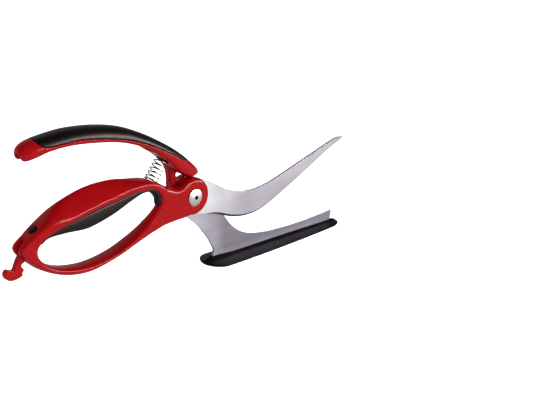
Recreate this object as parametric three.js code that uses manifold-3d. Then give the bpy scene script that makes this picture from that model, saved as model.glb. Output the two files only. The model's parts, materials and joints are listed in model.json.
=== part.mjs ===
// Pizza scissors: two halves that cross at one pivot and are opened by a coil spring.
// The rear half has the arched upper handle, the lower blade and the flat foot that slides under the slice.
// The front half has the loop handle and the long upper blade. A hook on the loop handle's rear end
// locks the closed handles. Millimetres, +Z up, +X towards the blade tips, the near side faces -Y.

import * as THREE from 'three';
import { mergeVertices } from 'three/addons/utils/BufferGeometryUtils.js';
import Module from 'manifold-3d';

const wasm = await Module();
wasm.setup();

// Clearances and motion
const fit_gap = 0.3;            // between pieces that are seated in each other
const layer_gap = 0.3;          // from the plane between the two halves to the plastic of each half
const closing_angle = 22;       // degrees that the front half turns to close the blades
const entering_angle = 114;     // degrees that the hook is swung up when it enters the upper handle's tip
const locking_angle = 125;      // degrees that it is swung up when it locks the handles
const lobe_gap = 1;             // between the front head and the upper handle's lobe above it
const neck_sweep_radius = 29;   // room round the pivot for the rear half's neck

// Pivot
const pivot_height = 60;        // pivot axis above the surface under the foot
const head_radius = 14.2;       // round end of each handle at the pivot
const front_head_depth = 9;     // from the plane between the halves to the front face
const rear_head_depth = 8;
const front_round = 3;          // rounding of the heads' outer edges
const rear_round = 2;
const barrel_diameter = 7;
const bolt_diameter = 4.6;
const cap_diameter = 12.4;      // bolt head and nut head
const cap_rim = 0.5;
const cap_dome = 1.2;
const socket_diameter = 2.9;
const socket_depth = 1.7;
const washer_thickness = 0.6;
const washer_margin = 0.6;      // how far the washer stays inside the cap's edge
const cap_recess = 0.9;         // depth of the round seat for the washer in each head
const seat_gap = 0.1;           // between stacked faces

// Blades
const blade_thickness = 2;
const blade_gap = 0.15;         // from the plane between the halves to each blade
const edge_thickness = 0.4;
const bevel_width = 1.8;
const bevel_run_out = 6;        // points of the cutting edge over which the bevel fades in and out
const anchor_diameter = 4;      // moulded pegs that pass through the tangs
const anchor_root = 1;          // how far each peg runs into the plastic under the tang

// Foot
const foot_half_width = 15.5;
const foot_tip_half_width = 8;
const foot_plate = 2.4;         // thickness beside the rib
const foot_rim = 1.3;           // thickness at its edge
const foot_crown = 4;           // height of the rib that holds the lower blade
const foot_heel_rise = 1.8;     // how much higher the rib is where the blade's rear corner stands
const foot_rise_start = 30;
const foot_rise_end = 46;
const foot_rib_half_width = 4.6;
const foot_rib_share = 0.4;     // most of the half width that the rib takes at the narrow ends
const foot_side_shares = [1, 0.8, 0.6];     // points beside the rib, as shares of the half width
const foot_heel_x = 15.5;
const foot_tip_x = 156;
const foot_heel_length = 13;
const foot_tip_length = 11;
const blade_seat_depth = 2.6;   // how deep the lower blade stands in the foot

// Grips
const grip_thickness = 2.2;
const pad_depth = 1.2;          // how deep the finger pad sits in the loop
const pad_side_margin = 1.4;    // lip of the loop beside the finger pad

// Spring
const spring_diameter = 10.6;   // outside
const wire_diameter = 1;
const spring_turns = 6;
const spring_length = 21.5;
const seat_depth = 1.5;
const spring_place = 17.58;     // where it stands, counted in stations round the loop handle
const spring_direction = [0.617, 0.787];

// Hook
const hook_thickness = 4;
const hook_pin_diameter = 2.6;
const hook_eye_radius = 3.6;
const hook_pin_reach = 5;
const hook_round = 0.4;
const hook_pin = new THREE.Vector2(-143, -8.5);
const catch_travel = 8;         // degrees of closing over which the raised hook enters the upper handle's tip

// Rubber stop on the loop handle
const bumper_diameter = 6.2;
const bumper_depth = 3.5;
const bumper_rise = 0.9;
const bumper_place = 5.62;      // where it sits, counted in stations round the loop handle
const bumper_crown = [[0.4, 1], [0.8, 0.8], [1, 0.4]];    // shares of the rise and of the radius

// Mesh fineness
const section_points = 20;
const steps_per_station = 3;
const round_steps = 24;
const outline_steps = 3;        // between two points of a smooth outline
const blade_steps = 5;
const rib_steps = 4;            // on each side of the foot's rib
const catch_steps = 6;          // places of the hook on its way into the upper handle's tip

// Upper handle, from its tip to its front lobe: bottom x, bottom z, top x, top z, half width
const upper_stations = [
  [-143.2, 59.8, -143.4, 62.8, 3.0],
  [-140.3, 56.4, -141.8, 66.2, 6.4],
  [-133.5, 57.2, -135.0, 69.2, 8.6],
  [-122.0, 59.8, -121.5, 70.8, 9.8],
  [-105.0, 60.4, -103.0, 71.5, 10.4],
  [-85.0, 58.2, -81.0, 69.2, 10.5],
  [-66.0, 54.6, -60.0, 64.1, 10.5],
  [-50.0, 49.0, -41.5, 55.8, 10.3],
  [-36.0, 41.6, -25.0, 46.2, 10.0],
  [-24.0, 32.5, -11.0, 36.6, 9.6],
  [-13.5, 22.0, 0.5, 26.8, 9.0],
  [-4.0, 16.0, 7.3, 19.8, 7.4],
  [1.0, 13.6, 9.8, 16.0, 4.0],
];

// Roundness of the sections: the height of the widest place, as a share, and how square each half is
const upper_section = { widest: 0.3, low_power: 3, high_power: 2.2 };
const hollow_section = { widest: 0.5, low_power: 4, high_power: 2.6 };
const pad_section = { widest: 0.7, low_power: 2.6, high_power: 5 };

// Hollow in the upper handle's underside that takes the loop handle's ridge when the handles close
const hollow_first_station = 3;
const hollow_last_station = 8;
const hollow_depth = 4.8;
const hollow_half_width = 7.4;

// Lower edge of the soft cover on the upper handle
const cover_edge = [
  [-133, 75], [-131.6, 69], [-128, 65.4], [-121, 64.1], [-101, 64.4], [-84, 62], [-67, 58.2],
  [-50.5, 53], [-36, 46.2], [-18.5, 36.3], [-8.5, 30.3], [0, 27.2], [7, 26],
];

// Loop handle, closed round the finger opening from the spring seat backwards:
// inner x, inner z, outer x, outer z, half width, middle y, widest at, inner power, outer power
const loop_stations = [
  [-43.0, 14.4, -38.0, 20.8, 9.0, 0.0, 0.60, 5.0, 2.2],
  [-56.0, 14.8, -55.0, 24.9, 9.8, 0.0, 0.45, 5.0, 1.4],
  [-72.0, 13.4, -71.0, 27.7, 10.8, 0.0, 0.30, 5.0, 1.2],
  [-92.0, 10.8, -91.0, 27.4, 11.3, 0.0, 0.22, 5.0, 1.2],
  [-111.0, 6.5, -112.0, 22.0, 10.6, 0.0, 0.22, 5.0, 1.4],
  [-126.0, 1.4, -127.5, 11.8, 8.8, 0.0, 0.30, 4.0, 3.0],
  [-132.0, -4.0, -138.5, 4.1, 7.6, 0.0, 0.40, 3.0, 5.0],
  [-133.4, -9.5, -148.6, -4.3, 7.2, 0.0, 0.50, 2.6, 5.0],
  [-131.0, -15.6, -142.0, -14.4, 7.0, 0.0, 0.50, 2.4, 2.6],
  [-123.6, -21.6, -130.0, -24.0, 7.0, 0.0, 0.50, 2.4, 2.4],
  [-110.0, -26.4, -112.0, -32.0, 7.0, 0.0, 0.50, 2.4, 2.4],
  [-92.0, -28.2, -92.0, -34.5, 7.0, 0.0, 0.50, 2.4, 2.4],
  [-72.0, -25.4, -70.0, -29.9, 7.0, -0.5, 0.50, 2.4, 2.4],
  [-55.0, -18.0, -51.0, -23.1, 6.6, -1.8, 0.50, 2.4, 2.4],
  [-42.0, -8.6, -35.0, -17.4, 5.4, -3.6, 0.50, 2.6, 2.6],
  [-33.5, -0.5, -22.0, -9.0, 4.4, -4.6, 0.50, 3.0, 3.0],
  [-31.0, 6.0, -18.0, 5.0, 4.4, -4.6, 0.50, 3.0, 3.0],
  [-35.0, 12.3, -28.0, 15.6, 6.5, -2.5, 0.55, 4.0, 2.6],
];

// Finger pad: its thickness at loop stations from the first one on, and the places among them where it
// starts and ends
const pad_first_station = 15;
const pad_thickness = [1.4, 1.7, 2.0, 2.3, 6.4, 11.2, 13.0, 7.6, 2.4, 1.0, 0.4];
const pad_start_place = 0.3;
const pad_end_place = 9.2;
const pad_spare_place = 0.06;   // how much further its recess runs at each end
const pad_rings = 28;

// Web of the front half between its head and the loop: saddle, round root inside the loop, chin
const front_rim_angles = [256, 484];
const front_web = [
  [-8.8, 11.1], [-12, 9.6], [-16, 9.5], [-20, 11], [-23.4, 12.4], [-26.6, 12.4], [-29.3, 10.4],
  [-29.8, 7], [-28.8, 1.5], [-29.8, -4], [-33.4, -8.2], [-37.4, -9.5], [-41.6, -9.8], [-44.6, -13.6],
  [-43.6, -17.6], [-39.4, -18.6], [-33.4, -17], [-27, -15.5], [-18, -14.8], [-9, -14.6],
];

// Neck of the rear half, a strut: front side, round root inside the upper handle, cove that faces the spring
const rear_rim_angles = [188, 470];
const rear_neck = [
  [-7.2, 13], [-9.2, 15.6], [-9.8, 19.5], [-10.8, 24], [-13.4, 30.2], [-17.2, 35], [-20.6, 36.6],
  [-23.4, 35.2], [-23.4, 32.2], [-20.3, 28.6], [-17.2, 24], [-15.6, 18.5], [-15, 12], [-14.6, 3],
];

// Upper blade: its back and its cutting edge, both from the heel to the tip
const upper_back = [
  [6, 12.5], [19, 7], [31.5, -1], [45, -7.4], [61, -10.4], [80, -8.4], [107, -0.8], [137, 8],
  [152, 12.2], [160.5, 12],
];
const upper_edge = [
  [2, -15], [14, -18], [25, -21], [43, -27.7], [59, -30], [75, -27.7], [98, -18.2], [122, -7],
  [147, 5], [160, 11],
];
const upper_ground_point = 1;   // point of the cutting edge where the bevel starts
const upper_tang = [[-4, 12.4], [-12, 7.5], [-21, 7], [-25.5, 1], [-23.5, -7.5], [-12, -11.5]];
const upper_anchors = [[-20, 2.5], [-17, -5.5]];

// Lower blade: its rear side (x and the share of the way down from the pivot to the foot), its cutting edge
// from the tip back (x and height above the surface under the foot), and the throat up to the pivot
const lower_rear = [
  [-12.2, 0.083], [-8, 0.24], [-0.1, 0.336], [9.6, 0.493], [15.1, 0.622], [19.6, 0.738], [23.4, 0.86],
  [25.2, 0.941],
];
const lower_edge = [[151, 10.6], [128, 10], [100, 9.7], [74, 11.6], [57, 15.5], [45, 23]];
const lower_ground_point = 7;   // point of the cutting edge and throat where the bevel ends
const lower_throat = [[37, -27.5], [31, -18], [24, -8], [12.6, 3]];
const lower_flare = 1.6;        // how far the lower blade's rear corner stands back at the foot
const lower_tang = [[9.8, 8.2], [3, 12.4], [-4, 12.1], [-9.5, 8.6], [-12.6, 2.5]];
const lower_anchors = [[-8.5, 4.5], [1, 9.5]];

// Hook outline round its pin, hanging: shank, finger ribs, sole, nose and barb
const hook_outline = [
  [-3.8, 0], [-6.2, -3.4], [-8.9, -9], [-11.4, -8.6], [-14, -7.7], [-15.8, -9], [-16.3, -11.4],
  [-15.2, -14], [-12.6, -15.8], [-9, -16.3], [-5, -15.7], [-2.2, -14.3], [-2.5, -12.8], [-1, -10.6],
  [-2.8, -8.2], [-2.4, -6.4], [0.4, -4.8], [3, -2],
];

// Materials
const red = new THREE.MeshStandardMaterial({ color: 0xb51c22, roughness: 0.38 });
const black_rubber = new THREE.MeshStandardMaterial({ color: 0x17161a, roughness: 0.75 });
const black_nylon = new THREE.MeshStandardMaterial({ color: 0x101014, roughness: 0.5 });
const blade_steel = new THREE.MeshStandardMaterial({ color: 0xd4d2da, roughness: 0.32, metalness: 1 });
const bright_steel = new THREE.MeshStandardMaterial({ color: 0xe8e8ea, roughness: 0.2, metalness: 1 });
const spring_steel = new THREE.MeshStandardMaterial({ color: 0x6c6a6c, roughness: 0.35, metalness: 1 });

// Shared shape tools
const point = ([x, z]) => new THREE.Vector2(x, z);

function smooth(points, steps = outline_steps) {
  return new THREE.SplineCurve(points.map(point)).getPoints(steps * (points.length - 1));
}

function arc(centre, radius, from, to, steps = round_steps) {
  return Array.from({ length: steps + 1 }, (_, i) => {
    const angle = THREE.MathUtils.degToRad(from + ((to - from) * i) / steps);
    return new THREE.Vector2(centre.x + radius * Math.cos(angle), centre.y + radius * Math.sin(angle));
  });
}

function turned(p, degrees) {
  return p.clone().rotateAround(origin, THREE.MathUtils.degToRad(degrees));
}

// The outline moved outwards by a distance
function grown(outline, by) {
  const turn = THREE.ShapeUtils.area(outline) < 0 ? -1 : 1;
  return outline.map((p, i) => {
    const along = outline[(i + 1) % outline.length].clone().sub(outline.at(i - 1)).normalize();
    return new THREE.Vector2(p.x + turn * by * along.y, p.y - turn * by * along.x);
  });
}

// A closed body from a geometry, with its skin facing outwards
function solid(geometry) {
  const bare = geometry.index ? geometry.toNonIndexed() : geometry.clone();
  bare.deleteAttribute('normal');
  bare.deleteAttribute('uv');
  const merged = mergeVertices(bare, 1e-4);
  const vertProperties = new Float32Array(merged.attributes.position.array);
  const triVerts = new Uint32Array(merged.index.array);
  const body = new wasm.Manifold(new wasm.Mesh({ numProp: 3, vertProperties, triVerts }));
  if (body.volume() > 0) {
    return body;
  }
  return new wasm.Manifold(new wasm.Mesh({ numProp: 3, vertProperties, triVerts: triVerts.reverse() }));
}

// A flat piece: its outline lies in the XZ plane and it runs from y_front to y_back
function plate(outline, y_front, y_back, round = 0) {
  const geometry = new THREE.ExtrudeGeometry(new THREE.Shape(outline), {
    depth: y_back - y_front - 2 * round,
    bevelEnabled: round > 0,
    bevelThickness: round,
    bevelSize: round,
    bevelOffset: -round,
    bevelSegments: 3,
  });
  geometry.rotateX(Math.PI / 2);
  geometry.translate(0, y_back - round, 0);
  return solid(geometry);
}

// A round piece on the Y axis through a point of the XZ plane
function rod(centre, radius, y_front, y_back) {
  return plate(arc(centre, radius, 0, 360).slice(0, -1), y_front, y_back);
}

// A skin over rings of equal length, closed into a loop or capped at both ends
function loft(rings, closed = false) {
  const size = rings[0].length;
  const positions = rings.flat().flatMap((p) => [p.x, p.y, p.z]);
  const faces = [];
  const spans = closed ? rings.length : rings.length - 1;
  for (let i = 0; i < spans; i++) {
    for (let j = 0; j < size; j++) {
      const a = i * size + j;
      const b = i * size + ((j + 1) % size);
      const c = ((i + 1) % rings.length) * size + j;
      const d = ((i + 1) % rings.length) * size + ((j + 1) % size);
      faces.push(a, b, c, b, d, c);
    }
  }
  if (!closed) {
    const last = (rings.length - 1) * size;
    for (let j = 1; j < size - 1; j++) {
      faces.push(0, j + 1, j, last, last + j, last + j + 1);
    }
  }
  const geometry = new THREE.BufferGeometry();
  geometry.setAttribute('position', new THREE.Float32BufferAttribute(positions, 3));
  geometry.setIndex(faces);
  return solid(geometry);
}

// Station values at a place between two stations, on a smooth curve through all of them
function between(stations, place, closed = false) {
  const count = stations.length;
  const pick = (i) => stations[closed ? (i + count) % count : THREE.MathUtils.clamp(i, 0, count - 1)];
  const i = Math.floor(place);
  const f = place - i;
  const [a, b, c, d] = [pick(i - 1), pick(i), pick(i + 1), pick(i + 2)];
  return b.map((value, k) => {
    const pull_in = (c[k] - a[k]) / 2;
    const pull_out = (d[k] - value) / 2;
    const rise = c[k] - value;
    const square = 3 * rise - 2 * pull_in - pull_out;
    const cube = pull_in + pull_out - 2 * rise;
    return value + f * (pull_in + f * (square + f * cube));
  });
}

// One ring of a handle: a rounded section that stands on the line from low to high
function section(low, high, half_width, middle_y, widest, low_power, high_power) {
  return Array.from({ length: section_points }, (_, i) => {
    const angle = (2 * Math.PI * i) / section_points;
    const power = Math.sin(angle) < 0 ? low_power : high_power;
    const bulge = (value) => Math.sign(value) * Math.abs(value) ** (2 / power);
    const side = bulge(Math.cos(angle));
    const along = bulge(Math.sin(angle));
    const share = along < 0 ? widest * (1 + along) : widest + (1 - widest) * along;
    const at = low.clone().lerp(high, share);
    return new THREE.Vector3(at.x, middle_y + half_width * side, at.y);
  });
}

function piece(name, body, material) {
  const mesh = body.getMesh();
  const geometry = new THREE.BufferGeometry();
  geometry.setAttribute('position', new THREE.BufferAttribute(mesh.vertProperties, 3));
  geometry.setIndex(new THREE.BufferAttribute(mesh.triVerts, 1));
  geometry.computeVertexNormals();
  const node = new THREE.Mesh(geometry, material.clone());
  node.name = name;
  return node;
}

// A wedge along a cutting edge that grinds one face of a blade down to the edge's thickness.
// Its slope starts a little off the face and ends beyond the edge, and moves off the blade at both ends
function grinding_wedge(edge, y_face, y_edge) {
  const first_share = -0.1;
  const last_share = 1.6;
  const last = edge.length - 1;
  const rings = edge.map((p, i) => {
    const along = edge[Math.min(i + 1, last)].clone().sub(edge[Math.max(i - 1, 0)]).normalize();
    const inward = new THREE.Vector2(-along.y, along.x);
    const fade = Math.min(1, i / bevel_run_out, (last - i) / bevel_run_out);
    const on_slope = (share) => {
      const at = p.clone().addScaledVector(inward, bevel_width * (fade - share));
      return new THREE.Vector3(at.x, y_face + (y_edge - y_face) * share, at.y);
    };
    const outer = on_slope(last_share);
    const inner = on_slope(first_share);
    return [inner, outer, new THREE.Vector3(outer.x, inner.y, outer.z)];
  });
  return loft(rings);
}

// Places shared by several pieces
const origin = new THREE.Vector2();
const blade_face = blade_gap + blade_thickness;
const blade_middle = blade_gap + blade_thickness / 2;
const pocket_face = blade_face + fit_gap;
const barrel_hole = barrel_diameter / 2 + fit_gap;
const reach = 40;               // how far cutters run past what they cut

function pegs(places, radius, y_front = -reach, y_back = reach) {
  return places.map((p) => rod(point(p), radius, y_front, y_back));
}

function join(first, others) {
  return others.reduce((sum, other) => sum.add(other), first);
}

function cut(first, others) {
  return others.reduce((rest, other) => rest.subtract(other), first);
}

// Loop handle stations
function loop_place(place) {
  const [ix, iz, ox, oz, half_width, middle_y, widest, inner_power, outer_power] =
    between(loop_stations, place, true);
  const inner = new THREE.Vector2(ix, iz);
  const outer = new THREE.Vector2(ox, oz);
  const out = outer.clone().sub(inner).normalize();
  return { inner, outer, out, half_width, middle_y, widest, inner_power, outer_power };
}

function loop_ring() {
  const rings = [];
  for (let i = 0; i < loop_stations.length * steps_per_station; i++) {
    const s = loop_place(i / steps_per_station);
    rings.push(section(s.inner, s.outer, s.half_width, s.middle_y, s.widest, s.inner_power, s.outer_power));
  }
  return loft(rings, true);
}

// Finger pad: a strip along the loop's upper inner side, sunk into it by pad_depth. Its recess is grown by
// the gap on all sides and runs further at both ends
function finger_pad(grow = 0, spare = 0) {
  const rings = [];
  const { widest, low_power, high_power } = pad_section;
  for (let i = 0; i <= pad_rings; i++) {
    const place = THREE.MathUtils.lerp(pad_start_place - spare, pad_end_place + spare, i / pad_rings);
    const s = loop_place(pad_first_station + place);
    const [thickness] = between(pad_thickness.map((value) => [value]), place);
    const top = s.inner.clone().addScaledVector(s.out, pad_depth + grow);
    const under = s.inner.clone().addScaledVector(s.out, -thickness - grow);
    const half_width = s.half_width - pad_side_margin + grow;
    rings.push(section(under, top, half_width, s.middle_y, widest, low_power, high_power));
  }
  return loft(rings);
}

// Upper handle body, drawn in by inset on its top and sides
function upper_body(inset) {
  const rings = [];
  const { widest, low_power, high_power } = upper_section;
  for (let i = 0; i <= (upper_stations.length - 1) * steps_per_station; i++) {
    const [bx, bz, tx, tz, full] = between(upper_stations, i / steps_per_station);
    const low = new THREE.Vector2(bx, bz);
    const high = new THREE.Vector2(tx, tz);
    high.addScaledVector(high.clone().sub(low).normalize(), -inset);
    const half_width = Math.max(full - inset, inset / 2);
    rings.push(section(low, high, half_width, 0, widest, low_power, high_power));
  }
  return loft(rings);
}

function hollow() {
  const rings = [];
  const { widest, low_power, high_power } = hollow_section;
  for (let i = hollow_first_station * steps_per_station; i <= hollow_last_station * steps_per_station; i++) {
    const [bx, bz, tx, tz] = between(upper_stations, i / steps_per_station);
    const base = new THREE.Vector2(bx, bz);
    const up = new THREE.Vector2(tx, tz).sub(base).normalize();
    const low = base.clone().addScaledVector(up, -hollow_depth);
    const high = base.clone().addScaledVector(up, hollow_depth);
    rings.push(section(low, high, hollow_half_width, 0, widest, low_power, high_power));
  }
  return loft(rings);
}

// All that lies above the soft cover's lower edge
function cover_region(drop) {
  const edge = smooth(cover_edge);
  const lowered = edge.map((p) => new THREE.Vector2(p.x, p.y - drop));
  const top = cover_edge[0][1] + reach;
  return plate([...lowered, point([edge.at(-1).x, top]), point([edge[0].x, top])], -reach, reach);
}

// A round post along a line in the XZ plane, from pairs of distance along the line and radius
function post(base, line, profile) {
  const across = new THREE.Vector3(-line.y, 0, line.x);
  const rings = profile.map(([distance, radius]) => {
    const centre = base.clone().addScaledVector(line, distance);
    return Array.from({ length: round_steps }, (_, i) => {
      const angle = (2 * Math.PI * i) / round_steps;
      const p = new THREE.Vector3(centre.x, 0, centre.y).addScaledVector(across, radius * Math.cos(angle));
      return p.setY(radius * Math.sin(angle));
    });
  });
  return loft(rings);
}

// Spring: it stands in a seat on the loop handle and runs into a pocket of the upper handle
const spring_foot = loop_place(spring_place).outer;
const spring_line = point(spring_direction).normalize();
const pocket_radius = spring_diameter / 2 + 2 * fit_gap;

function make_spring() {
  const turn_steps = 8;
  const wire_sides = 5;
  const middle = (spring_diameter - wire_diameter) / 2;
  const rise = spring_length - 2 * wire_diameter;
  const across = new THREE.Vector3(-spring_line.y, 0, spring_line.x);
  const at = (angle, distance) => {
    const centre = spring_foot.clone().addScaledVector(spring_line, distance - seat_depth + fit_gap);
    return new THREE.Vector3(centre.x, middle * Math.sin(angle), centre.y)
      .addScaledVector(across, middle * Math.cos(angle));
  };
  const last_angle = 2 * Math.PI * spring_turns;
  const points = [at(0, 0)];
  for (let i = 0; i <= turn_steps * spring_turns; i++) {
    const share = i / (turn_steps * spring_turns);
    points.push(at(last_angle * share, wire_diameter + rise * share));
  }
  points.push(at(last_angle, spring_length));
  let least = Infinity;
  points.forEach((p, i) => points.slice(i + turn_steps / 2).forEach((q) => {
    least = Math.min(least, p.distanceTo(q) - wire_diameter);
  }));
  console.log(`spring: least gap between its turns ${least.toFixed(2)} mm`);
  const wire = new THREE.Shape(arc(origin, wire_diameter / 2, 0, 360, wire_sides).slice(0, -1));
  return solid(new THREE.ExtrudeGeometry(wire, {
    steps: points.length - 1,
    extrudePath: new THREE.CatmullRomCurve3(points),
  }));
}

// Hook outline at an angle from hanging, with the front half closed by another angle
function hook_sides(swing, closed, grow) {
  const sides = smooth([...hook_outline, hook_outline[0]]).slice(0, -1);
  const placed = sides.map((p) => turned(turned(p, -swing).add(hook_pin), -closed));
  return grown(placed, grow);
}

function make_hook() {
  const half = hook_thickness / 2;
  const arm = plate(hook_sides(0, 0, 0), -half, half, hook_round);
  const eye = rod(hook_pin, hook_eye_radius, -half, half);
  return arm.add(eye).subtract(rod(hook_pin, hook_pin_diameter / 2 + fit_gap, -reach, reach));
}

// What the hook takes out of the upper handle's tip: it is swung up, enters from below while the handles
// close, and then swings on, so that its barb lies above the tip's floor
function hook_catch() {
  const half = hook_thickness / 2 + 2 * fit_gap;
  const print = (swing, closed) => plate(hook_sides(swing, closed, 2 * fit_gap), -half, half);
  const prints = [];
  for (let i = 0; i <= catch_steps; i++) {
    const share = i / catch_steps;
    prints.push(print(entering_angle, closing_angle - catch_travel * share));
    prints.push(print(THREE.MathUtils.lerp(entering_angle, locking_angle, share), closing_angle));
  }
  return join(prints[0], prints.slice(1));
}

// Open fork for the hook at the loop handle's rear end
function hook_slot() {
  const half = hook_thickness / 2 + fit_gap;
  const radius = hook_eye_radius + 2 * fit_gap;
  const far = hook_pin.x - reach;
  const near = hook_pin.x + radius / 2;
  const mouth = [[near, hook_pin.y - reach], [near, hook_pin.y + reach], [far, hook_pin.y + reach],
    [far, hook_pin.y - reach]];
  return rod(hook_pin, radius, -half, half).add(plate(mouth.map(point), -half, half));
}

// Rubber stop on the loop handle's top
const bumper_seat = loop_place(bumper_place);
const bumper_line = (() => {
  const along = loop_place(bumper_place + 0.1).outer.sub(bumper_seat.outer).normalize();
  return new THREE.Vector2(along.y, -along.x);
})();

function make_bumper() {
  const radius = bumper_diameter / 2;
  const crown = bumper_crown.map(([height, width]) => [bumper_rise * height, radius * width]);
  return post(bumper_seat.outer, bumper_line, [[-bumper_depth, radius], ...crown]);
}

function bumper_hole() {
  const radius = bumper_diameter / 2 + fit_gap;
  return post(bumper_seat.outer, bumper_line, [[-bumper_depth - fit_gap, radius], [reach / 2, radius]]);
}

// Blades
function upper_blade_outline() {
  const back = smooth(upper_back, blade_steps).reverse();
  const edge = smooth(upper_edge, blade_steps);
  const tang = smooth([upper_back[0], ...upper_tang, upper_edge[0]]).slice(1, -1);
  return [...tang, ...edge, ...back];
}

function make_upper_blade() {
  const body = plate(upper_blade_outline(), -blade_face, -blade_gap);
  const ground = smooth(upper_edge, blade_steps).slice(upper_ground_point * blade_steps);
  return cut(body, [
    grinding_wedge(ground, -blade_face, -blade_gap - edge_thickness),
    rod(origin, barrel_hole, -reach, reach),
    ...pegs(upper_anchors, anchor_diameter / 2),
  ]);
}

function lower_edge_line() {
  return [...lower_edge.map(([x, height]) => [x, height - pivot_height]), ...lower_throat];
}

// Where the lower blade's rear corner stands in the foot
function lower_corner() {
  return lower_rear.at(-1)[0] - lower_flare;
}

function lower_blade_outline() {
  const foot_top = foot_crown - pivot_height;
  const base = foot_top - blade_seat_depth;
  const corner = lower_corner();
  const tip = lower_edge[0][0];
  const heel = foot_top + foot_heel_rise;
  const rear = smooth([...lower_rear.map(([x, share]) => [x, heel * share]), [corner, heel]]);
  const edge = smooth(lower_edge_line(), blade_steps);
  const tang = smooth([lower_throat.at(-1), ...lower_tang, rear[0].toArray()]).slice(1, -1);
  return [...rear, point([corner, base]), point([tip - blade_seat_depth, base]), ...edge, ...tang];
}

function make_lower_blade() {
  const body = plate(lower_blade_outline(), blade_gap, blade_face);
  const ground = smooth(lower_edge_line(), blade_steps).slice(0, lower_ground_point * blade_steps + 1);
  return cut(body, [
    grinding_wedge(ground, blade_face, blade_gap + edge_thickness),
    rod(origin, barrel_hole, -reach, reach),
    ...pegs(lower_anchors, anchor_diameter / 2),
  ]);
}

// Foot: a thin flat tongue with round ends and a low rib along its middle that holds the lower blade
function foot_half_width_at(x) {
  const taper = (x - foot_heel_x) / (foot_tip_x - foot_heel_x);
  const side = THREE.MathUtils.lerp(foot_half_width, foot_tip_half_width, taper ** 2);
  const heel = Math.max(0, 1 - (x - foot_heel_x) / foot_heel_length);
  const tip = Math.max(0, 1 - (foot_tip_x - x) / foot_tip_length);
  return side * Math.sqrt(Math.max(0, (1 - heel ** 2) * (1 - tip ** 2)));
}

function foot_ring(x) {
  const half_width = Math.max(foot_half_width_at(x), foot_rim);
  const rise = foot_heel_rise * (1 - THREE.MathUtils.smoothstep(x, foot_rise_start, foot_rise_end));
  const fullness = Math.min(1, half_width / foot_tip_half_width);
  const rib_middle = blade_middle * fullness;
  const rib_reach = Math.min(foot_rib_half_width, foot_rib_share * half_width);
  const rib_start = THREE.MathUtils.smoothstep(x, foot_heel_x, lower_corner());
  const rib = (foot_crown + rise - foot_plate) * fullness * rib_start;
  const sides = foot_side_shares.map((share) => share * half_width);
  const slope_points = { length: 2 * rib_steps + 1 };
  const slope = Array.from(slope_points, (_, i) => rib_middle + rib_reach * (1 - i / rib_steps));
  const top = [...sides, ...slope, ...sides.map((y) => -y).reverse()].map((y) => {
    const plate_height = foot_rim + (foot_plate - foot_rim) * fullness * (1 - (y / half_width) ** 2);
    const rib_height = rib * Math.max(0, 1 - ((y - rib_middle) / rib_reach) ** 2) ** 2;
    return new THREE.Vector3(x, y, plate_height + rib_height - pivot_height);
  });
  const sole = half_width - foot_rim / 2;
  return [...top, new THREE.Vector3(x, -sole, -pivot_height), new THREE.Vector3(x, sole, -pivot_height)];
}

function make_foot() {
  const length = foot_tip_x - foot_heel_x;
  const end_steps = 6;
  const places = [];
  for (let i = 0; i <= end_steps; i++) {
    places.push(foot_heel_length * (1 - Math.cos((Math.PI * i) / (2 * end_steps))));
  }
  for (let i = 1; i < end_steps; i++) {
    places.push(THREE.MathUtils.lerp(foot_heel_length, length - foot_tip_length, i / end_steps));
  }
  for (let i = 0; i <= end_steps; i++) {
    places.push(length - foot_tip_length * (1 - Math.sin((Math.PI * i) / (2 * end_steps))));
  }
  const body = loft(places.map((place) => foot_ring(foot_heel_x + place)));
  const slot = plate(grown(lower_blade_outline(), fit_gap), blade_gap - fit_gap, blade_face + fit_gap);
  return body.subtract(slot);
}

// Pivot: a bolt screwed into a barrel nut, with a washer under each cap
const front_floor = cap_recess - front_head_depth;
const rear_floor = rear_head_depth - cap_recess;
const front_cap = front_floor - washer_thickness - 2 * seat_gap;
const rear_cap = rear_floor + washer_thickness + 2 * seat_gap;

function revolved(profile) {
  return solid(new THREE.LatheGeometry(profile.map(point), round_steps));
}

// Domed cap from its middle, or from a socket's edge, out to its underside; outward is -1 or 1 along Y
function cap_profile(under, outward, from_radius) {
  const dome_steps = 4;
  const radius = cap_diameter / 2;
  const dome = Array.from({ length: dome_steps + 1 }, (_, i) => {
    const r = THREE.MathUtils.lerp(from_radius, radius, i / dome_steps);
    return [r, under + outward * (cap_rim + cap_dome * (1 - (r / radius) ** 2))];
  });
  return [...dome, [radius, under]];
}

function make_bolt() {
  const socket = socket_diameter / 2;
  const dome = cap_profile(front_cap, -1, socket);
  const socket_floor = front_cap - cap_rim - cap_dome + socket_depth;
  return revolved([
    [0, socket_floor], [socket, socket_floor], ...dome, [bolt_diameter / 2, front_cap],
    [bolt_diameter / 2, rear_cap - fit_gap], [0, rear_cap - fit_gap],
  ]);
}

function make_nut() {
  const bore = bolt_diameter / 2 + fit_gap;
  const barrel_end = front_floor + seat_gap;
  return revolved([
    ...cap_profile(rear_cap, 1, 0), [barrel_diameter / 2, rear_cap], [barrel_diameter / 2, barrel_end],
    [bore, barrel_end], [bore, rear_cap], [0, rear_cap],
  ]);
}

function make_washer(from) {
  const to = from + washer_thickness;
  const inner = barrel_hole;
  const outer = cap_diameter / 2 - washer_margin;
  return revolved([[inner, from], [outer, from], [outer, to], [inner, to], [inner, from]]);
}

// Handles
function front_head() {
  const rim = arc(origin, head_radius, ...front_rim_angles);
  return plate([...rim, ...smooth(front_web)], -front_head_depth, front_round, front_round);
}

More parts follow.
